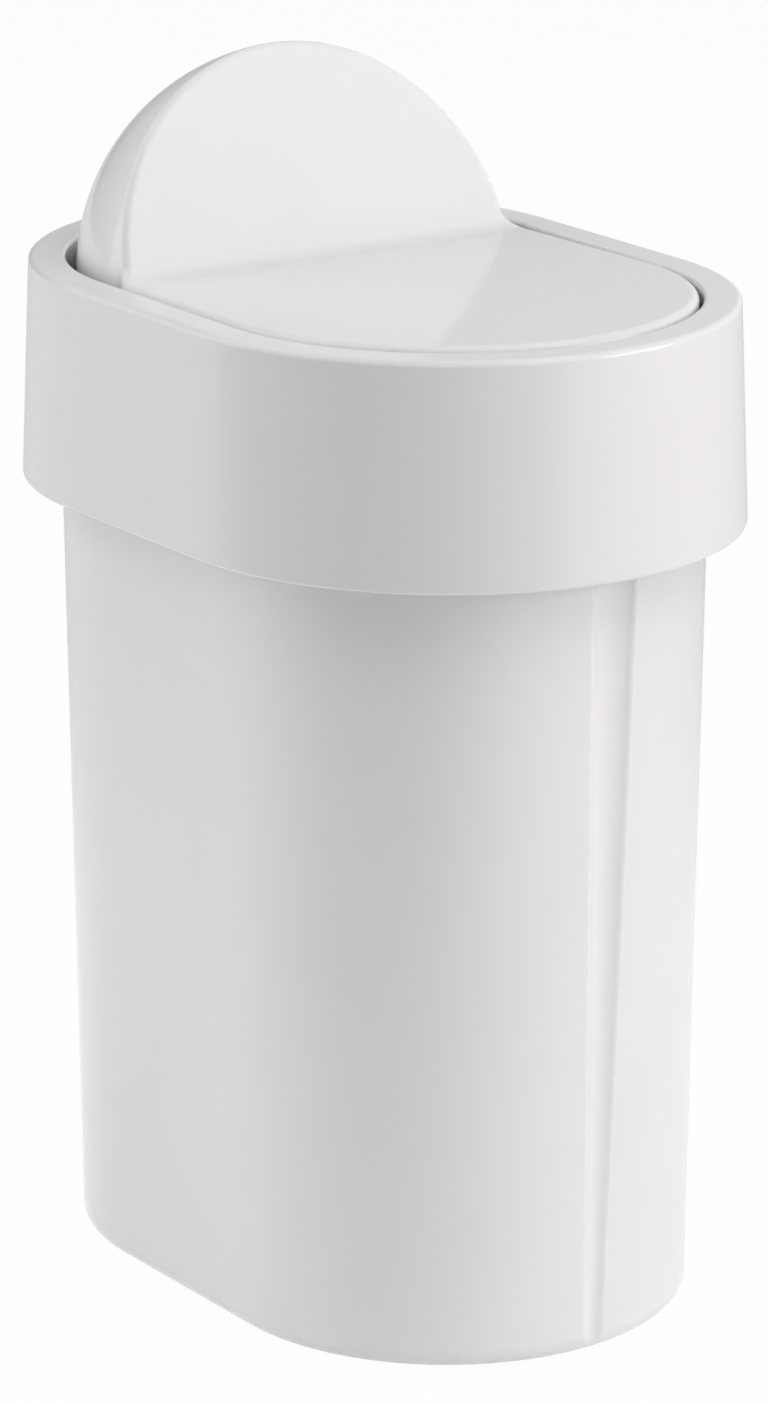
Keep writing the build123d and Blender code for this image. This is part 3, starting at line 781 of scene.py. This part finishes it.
def hung(patch, degrees):
    # The closed lid rests with its nose up a little: x and z turned about the pivot line.
    points, quads = patch
    turn = math.radians(degrees)
    x, z = points[:, 0] - pivot["x"], points[:, 2] - pivot["z"]
    swungX = pivot["x"] + x * math.cos(turn) - z * math.sin(turn)
    swungZ = pivot["z"] + z * math.cos(turn) + x * math.sin(turn)
    return np.stack([swungX, points[:, 1], swungZ], axis=1), quads


lidPatches = lidShell(lid) + [flapWeb(lid, y) for y in lid["webPlaces"]]
for side in (-1, 1):
    lidPatches += [lidHub(lid, side), lidFinger(lid, side), screwBoss(lid, side)]
lidPatches = [hung(patch, lid["hang"]) for patch in lidPatches]
makePiece("swingLid", lidPatches, lidWhite, "lid", ["swing_lid"])


# the small parts show their measured shapes, and get their finishes here
for nodeName, material in {
    "base_feet": rubber, "stop_buffers": rubber, "pivot_bush_left": nylon, "pivot_bush_right": nylon,
    "pivot_pin_left": nylon, "pivot_pin_right": nylon, "counterweight": steel, "weight_screws": steel,
}.items():
    mesh = nodes[nodeName].data
    mesh.materials.clear()
    mesh.materials.append(material)
print("finishes: on the small parts")


def areaLamp(name, place, target, size, power, colour):
    # a soft rectangular lamp at place, turned to face target
    data = bpy.data.lights.new(name, "AREA")
    data.shape = "RECTANGLE"
    data.size, data.size_y = size
    data.energy = power
    data.color = colour
    lamp = bpy.data.objects.new(name, data)
    bpy.context.scene.collection.objects.link(lamp)
    lamp.location = place
    lamp.rotation_euler = (Vector(target) - Vector(place)).to_track_quat("-Z", "Y").to_euler()
    return lamp


backdrop = {
    "floorReach": 6.0, "colour": (0.88, 0.88, 0.88), "shadowShare": 0.03,
    # how reflections find the floor: gone by fadeTo along fadeWay, and down to around by edgeTo from the middle
    "fadeWay": (0.5, -0.87, 0.0), "fadeFrom": 0.1, "fadeTo": 0.95, "edgeFrom": 0.25, "edgeTo": 0.8, "around": 0.65,
    # the world's own light, and how reflections find it from straight left, X = -1, round to sideTo
    "world": 0.1, "ambient": (0.87, 0.98, 1.15), "darkSide": 0.18, "lightSide": 1.0, "sideTo": -0.64,
}


def seenDirectly(tree):
    # 1 for rays from the camera and for mirrored and refracted ones, 0 for the rest; and 1 for mirrored ones alone
    path = tree.nodes.new("ShaderNodeLightPath").outputs
    straight = calc(tree, "MAXIMUM", path["Is Camera Ray"], path["Is Transmission Ray"])
    return calc(tree, "MAXIMUM", straight, path["Is Glossy Ray"]), path["Is Glossy Ray"]


def paleFloor():
    # a matt floor that shows as plain white, with only a share of its own light and shadow left in;
    # reflections find it fading out in front of the bin, where the studio is dark, and dimmer further off
    material = bpy.data.materials.new("paleFloor")
    material.use_nodes = True
    tree = material.node_tree
    tree.nodes.clear()
    output = tree.nodes.new("ShaderNodeOutputMaterial")
    matt = tree.nodes.new("ShaderNodeBsdfDiffuse")
    matt.inputs["Color"].default_value = (*backdrop["colour"], 1.0)
    white = tree.nodes.new("ShaderNodeEmission")
    where = addNode(tree, "TexCoord").outputs["Object"]
    ahead = addNode(tree, "VectorMath", {0: where, 1: backdrop["fadeWay"]}, operation="DOT_PRODUCT").outputs["Value"]
    direct, mirrored = seenDirectly(tree)
    far = addNode(tree, "VectorMath", {0: where}, operation="LENGTH").outputs["Value"]
    far = ramp(tree, far, backdrop["edgeFrom"], backdrop["edgeTo"], 0.0, 1.0 - backdrop["around"])
    lost = calc(tree, "MAXIMUM", ramp(tree, ahead, backdrop["fadeFrom"], backdrop["fadeTo"]), far)
    lost = calc(tree, "MULTIPLY", lost, mirrored)
    tree.links.new(calc(tree, "SUBTRACT", 1.0, lost), white.inputs["Strength"])
    share = tree.nodes.new("ShaderNodeMixShader")
    share.inputs[0].default_value = backdrop["shadowShare"]
    tree.links.new(white.outputs[0], share.inputs[1])
    tree.links.new(matt.outputs[0], share.inputs[2])
    shown = tree.nodes.new("ShaderNodeMixShader")
    tree.links.new(direct, shown.inputs[0])
    tree.links.new(matt.outputs[0], shown.inputs[1])
    tree.links.new(share.outputs[0], shown.inputs[2])
    tree.links.new(shown.outputs[0], output.inputs["Surface"])
    return material


reach = backdrop["floorReach"]
floorMesh = bpy.data.meshes.new("floor")
corners = [(-reach, -reach, 0), (reach, -reach, 0), (reach, reach, 0), (-reach, reach, 0)]
floorMesh.from_pydata(corners, [], [(0, 1, 2, 3)])
floor = bpy.data.objects.new("floor", floorMesh)
bpy.context.scene.collection.objects.link(floor)
floorMesh.materials.append(paleFloor())
print("stage: floor")

world = bpy.data.worlds.new("studio")
bpy.context.scene.world = world
world.use_nodes = True
tree = world.node_tree
# white where it is seen, dimmer where it is mirrored and dark on the left, and with little light of its own
direct, mirrored = seenDirectly(tree)
side = addNode(tree, "SeparateXYZ", {0: addNode(tree, "TexCoord").outputs["Generated"]}).outputs["X"]
side = ramp(tree, side, -1.0, backdrop["sideTo"], backdrop["darkSide"], backdrop["lightSide"])
seen = addNode(tree, "MapRange", {"Value": mirrored, "To Min": 1.0, "To Max": side}).outputs["Result"]
level = addNode(tree, "MapRange", {"Value": direct, "To Min": backdrop["world"], "To Max": seen})
background = tree.nodes["Background"]
tree.links.new(tinted(tree, direct, backdrop["ambient"], (1.0, 1.0, 1.0)), background.inputs["Color"])
tree.links.new(level.outputs["Result"], background.inputs["Strength"])
print("stage: world")

lampBall = {"middle": (0.0, 0.0, 0.2), "radius": 2.45, "twinRadius": 2.4}

# azimuth, elevation, size, power in watts, the share of it that gloss shows, and colour, pinker on the right
lamps = {
    "lowLeft": (-45, 7, (1.2, 0.9), 14.6, 0.2, (1.0, 0.995, 0.995)),
    "highLeft": (-45, 40, (2.0, 2.0), 21.0, 0.2, (1.0, 0.98, 0.975)),
    "highRight": (105, 40, (2.0, 2.0), 9.8, 0.2, (1.0, 0.965, 0.975)),
    "topRight": (120, 65, (2.0, 2.0), 27.0, 0.2, (1.0, 0.965, 0.965)),
    "lowRight": (132, 9, (1.4, 1.2), 22.8, 0.9, (1.0, 0.945, 0.965)),
    "lowFront": (45, 7, (1.6, 0.9), 6.3, 0.2, (1.0, 0.985, 0.975)),
}


def lampPair(name, azimuth, elevation, size, power, shine, colour):
    # A lamp on a ball round the bin: azimuth 0 is in front of its long side, -Y, and turns towards its flap end, +X.
    # All but the share shine of its light comes from a twin just before it that gloss doesn't show, so that
    # highlights stay soft.
    a, e = math.radians(azimuth), math.radians(elevation)
    way = Vector((math.sin(a) * math.cos(e), -math.cos(a) * math.cos(e), math.sin(e)))
    middle = Vector(lampBall["middle"])
    areaLamp(name, middle + way * lampBall["radius"], middle, size, power * shine, colour)
    twinPlace = middle + way * lampBall["twinRadius"]
    twin = areaLamp(name + "Diffuse", twinPlace, middle, size, power * (1.0 - shine), colour)
    twin.visible_glossy = False


for name, values in lamps.items():
    lampPair(name, *values)
print("stage: lamps")

lens = {
    "focal": 158.10, "sensor": 36.0, "shift": (0.0028, 0.0406),
    "place": (1.49521, -1.02349, 0.71737), "towards": (-0.7887, 0.5399, -0.2940),
}
cameraData = bpy.data.cameras.new("view")
cameraData.sensor_width = lens["sensor"]
cameraData.lens = lens["focal"]
cameraData.shift_x, cameraData.shift_y = lens["shift"]
camera = bpy.data.objects.new("view", cameraData)
bpy.context.scene.collection.objects.link(camera)
camera.location = lens["place"]
camera.rotation_euler = Vector(lens["towards"]).to_track_quat("-Z", "Y").to_euler()
bpy.context.scene.camera = camera
bpy.context.scene.view_settings.view_transform = "Standard"
print("stage: camera")
